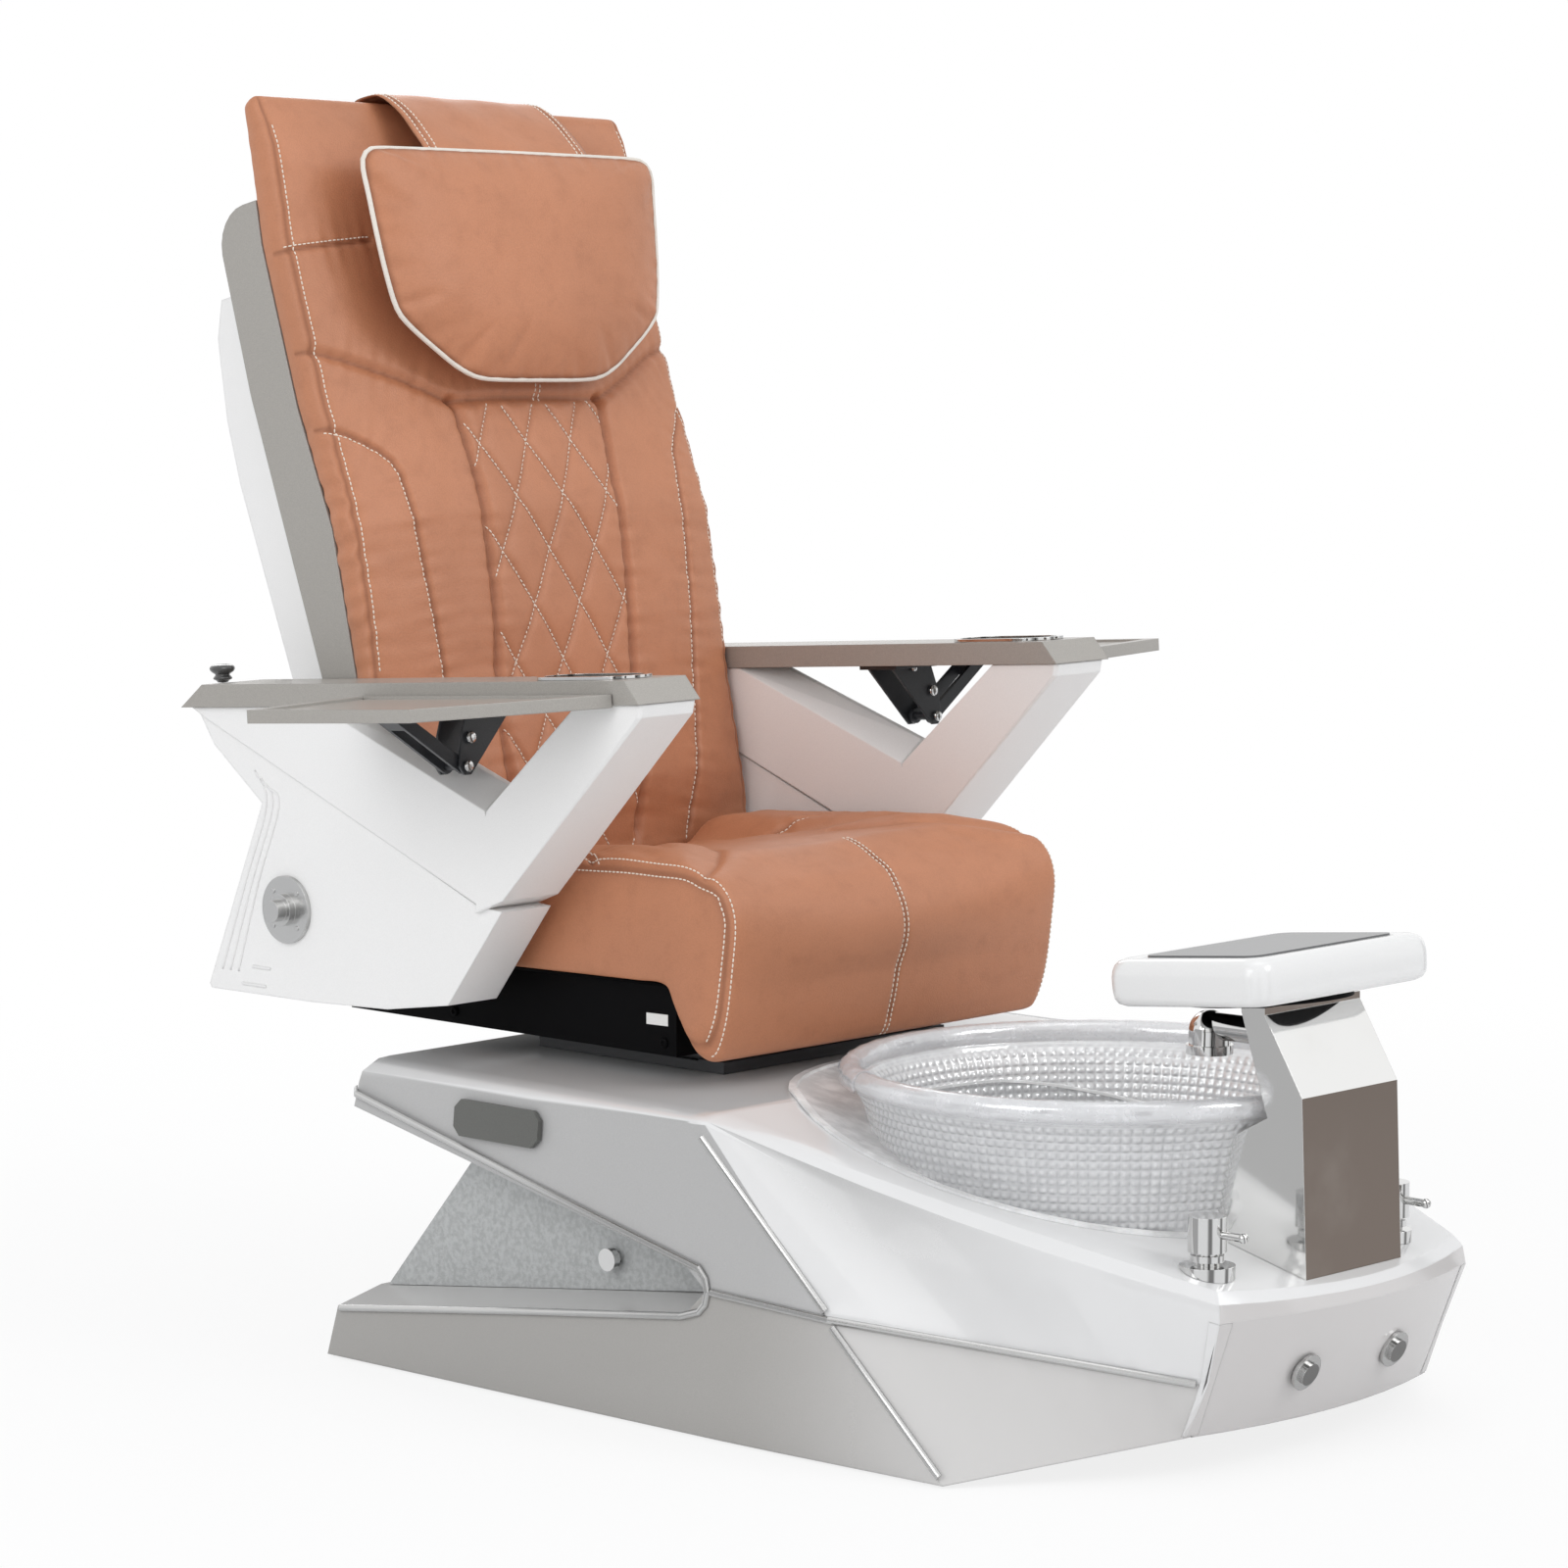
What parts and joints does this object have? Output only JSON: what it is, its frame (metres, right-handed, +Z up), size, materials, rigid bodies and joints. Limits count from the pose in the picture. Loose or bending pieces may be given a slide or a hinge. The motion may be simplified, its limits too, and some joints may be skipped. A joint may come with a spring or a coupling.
{
  "type": "pedicure spa chair",
  "caption": "Reclining leather massage armchair on a sliding carriage over a moulded base with a glass foot bowl, chrome column, footrest, valves and fold-down arm trays.",
  "frame": {"origin": "on the floor, on the middle levelling foot: the chair's centre plane, midway along the flat part of the base", "axes": "+X to the sitter's left, +Y to the rear of the chair (the sitter faces -Y), +Z up"},
  "size_m": [1.275, 1.5713, 1.4644],
  "materials": {
    "painted_frame": "matt dark grey powder coat",
    "rubber_feet": "black moulded rubber",
    "shell_upper": "gloss white gel coat, pearl light grey on the sides",
    "shell_lower": "satin pearl light grey",
    "chrome": "polished chrome plate",
    "textured_panel": "light grey with a rough cast texture",
    "grey_plate": "brushed grey plate, bare",
    "bowl_glass": "clear glass with a hobnail relief",
    "clear_collar": "clear acrylic, lightly frosted",
    "white_plastic": "gloss white moulding",
    "brass": "machined brass",
    "black_plastic": "black moulded plastic",
    "black_steel": "black powder coat",
    "grey_steel": "zinc-plated steel",
    "footrest_pad": "grey fine-textured pad",
    "grey_gloss": "warm grey metallic gloss paint",
    "leather": "tan leather with off-white double stitching"
  },
  "bodies": {
    "base": {"chassis_frame": "painted_frame", "levelling_feet": "rubber_feet", "upper_shell": "shell_upper", "lower_shell": "shell_lower", "trim_beads": "chrome", "notch_panels": "textured_panel", "rear_panel": "textured_panel", "blank_plates": "grey_plate", "bowl": "bowl_glass", "bowl_collar": "clear_collar", "drain_fitting": "chrome", "jet_housing": "chrome", "water_manifold": "brass", "power_box": "black_plastic", "column": "chrome", "footrest_disc": "black_steel", "spout": "chrome", "valve_body_right": "chrome", "valve_body_left": "chrome", "button_bezels": "chrome", "deck_rails": "black_steel"},
    "footrest": {"footrest_shell": "white_plastic", "footrest_inset": "footrest_pad"},
    "seat": {"seat_frame": "black_steel", "seat_cushion": "leather", "recline_actuator": "grey_steel", "arm_pivots": "grey_steel"},
    "back": {"back_frame": "black_steel", "back_side_shell": "grey_gloss", "back_rear_shell": "white_plastic", "back_pad": "leather", "headrest_flap": "leather"},
    "head_pillow": {"pillow": "leather"},
    "massage_carriage": {"massage_carriage": "black_plastic"},
    "massage_rollers": {"massage_rollers": "black_plastic"},
    "stopper": {"drain_stopper": "chrome"},
    "impeller": {"jet_impeller": "white_plastic"},
    "valve_handle_right": {"valve_handle_right": "chrome"},
    "button_right": {"button_right": "chrome"},
    "notch_knob_right": {"notch_knob_right": "chrome"},
    "arm_right": {"arm_shell_right": "white_plastic", "arm_top_right": "grey_gloss", "arm_ring_right": "chrome", "pivot_cap_right": "chrome", "tray_bracket_right": "black_steel"},
    "arm_knob_right": {"arm_knob_right": "black_plastic"},
    "side_tray_right": {"tray_right": "grey_gloss", "tray_brace_right": "black_steel"},
    "valve_handle_left": {"valve_handle_left": "chrome"},
    "button_left": {"button_left": "chrome"},
    "notch_knob_left": {"notch_knob_left": "chrome"},
    "arm_left": {"arm_shell_left": "white_plastic", "arm_top_left": "grey_gloss", "arm_ring_left": "chrome", "pivot_cap_left": "chrome", "tray_bracket_left": "black_steel"},
    "arm_knob_left": {"arm_knob_left": "black_plastic"},
    "side_tray_left": {"tray_left": "grey_gloss", "tray_brace_left": "black_steel"}
  },
  "joints": [
    {"name": "seat_slide", "type": "slide", "parent": "base", "child": "seat", "axis": [0, 1, 0], "range_m": [0, 0.13]},
    {"name": "back_recline", "type": "hinge", "parent": "seat", "child": "back", "pos_m": [0, 0.6, 0.44], "axis": [-1, 0, 0], "range_deg": [0, 35]},
    {"name": "pillow_flip", "type": "hinge", "parent": "back", "child": "head_pillow", "pos_m": [0, 0.71289, 1.40021], "axis": [-1, 0, 0], "range_deg": [0, 110]},
    {"name": "massage_slide", "type": "slide", "parent": "back", "child": "massage_carriage", "axis": [0, 0.225, 0.9744], "range_m": [-0.115, 0.2]},
    {"name": "massage_spin", "type": "hinge", "parent": "massage_carriage", "child": "massage_rollers", "pos_m": [0, 0.67146, 0.76731], "axis": [1, 0, 0], "continuous": true},
    {"name": "footrest_swivel", "type": "hinge", "parent": "base", "child": "footrest", "pos_m": [0, -0.48, 0.488], "axis": [0, 0.0958, 0.9954], "range_deg": [-90, 90]},
    {"name": "stopper_lift", "type": "slide", "parent": "base", "child": "stopper", "axis": [0, 0, 1], "range_m": [0, 0.01]},
    {"name": "impeller_spin", "type": "hinge", "parent": "base", "child": "impeller", "pos_m": [0, -0.459, 0.268], "axis": [0, 1, 0], "continuous": true},
    {"name": "valve_turn_right", "type": "hinge", "parent": "base", "child": "valve_handle_right", "pos_m": [-0.177, -0.54, 0.25], "axis": [0, 0, 1], "range_deg": [0, 90]},
    {"name": "knob_turn_right", "type": "hinge", "parent": "base", "child": "notch_knob_right", "pos_m": [-0.35, 0.165, 0.16], "axis": [1, 0, 0], "range_deg": [0, 90]},
    {"name": "button_press_right", "type": "slide", "parent": "base", "child": "button_right", "axis": [0, 0.9366, 0.3503], "range_m": [0, 0.0035], "stiffness_N_per_m": 400, "springref_m": -0.002},
    {"name": "arm_lift_right", "type": "hinge", "parent": "seat", "child": "arm_right", "pos_m": [-0.352, 0.668, 0.512], "axis": [-1, 0, 0], "range_deg": [0, 55]},
    {"name": "arm_knob_turn_right", "type": "hinge", "parent": "arm_right", "child": "arm_knob_right", "pos_m": [-0.3535, 0.818, 0.74135], "axis": [0, 0.068, 0.9977], "range_deg": [0, 90]},
    {"name": "tray_fold_right", "type": "hinge", "parent": "arm_right", "child": "side_tray_right", "pos_m": [-0.4, 0.37, 0.704], "axis": [0, -0.9977, 0.068], "range_deg": [0, 85]},
    {"name": "valve_turn_left", "type": "hinge", "parent": "base", "child": "valve_handle_left", "pos_m": [0.126, -0.554, 0.25], "axis": [0, 0, 1], "range_deg": [0, 90]},
    {"name": "knob_turn_left", "type": "hinge", "parent": "base", "child": "notch_knob_left", "pos_m": [0.35, 0.165, 0.16], "axis": [1, 0, 0], "range_deg": [0, 90]},
    {"name": "button_press_left", "type": "slide", "parent": "base", "child": "button_left", "axis": [0, 0.9366, 0.3503], "range_m": [0, 0.0035], "stiffness_N_per_m": 400, "springref_m": -0.002},
    {"name": "arm_lift_left", "type": "hinge", "parent": "seat", "child": "arm_left", "pos_m": [0.352, 0.668, 0.512], "axis": [-1, 0, 0], "range_deg": [0, 55]},
    {"name": "arm_knob_turn_left", "type": "hinge", "parent": "arm_left", "child": "arm_knob_left", "pos_m": [0.3535, 0.818, 0.74135], "axis": [0, 0.068, 0.9977], "range_deg": [0, 90]},
    {"name": "tray_fold_left", "type": "hinge", "parent": "arm_left", "child": "side_tray_left", "pos_m": [0.4, 0.37, 0.704], "axis": [0, 0.9977, -0.068], "range_deg": [0, 85]}
  ]
}
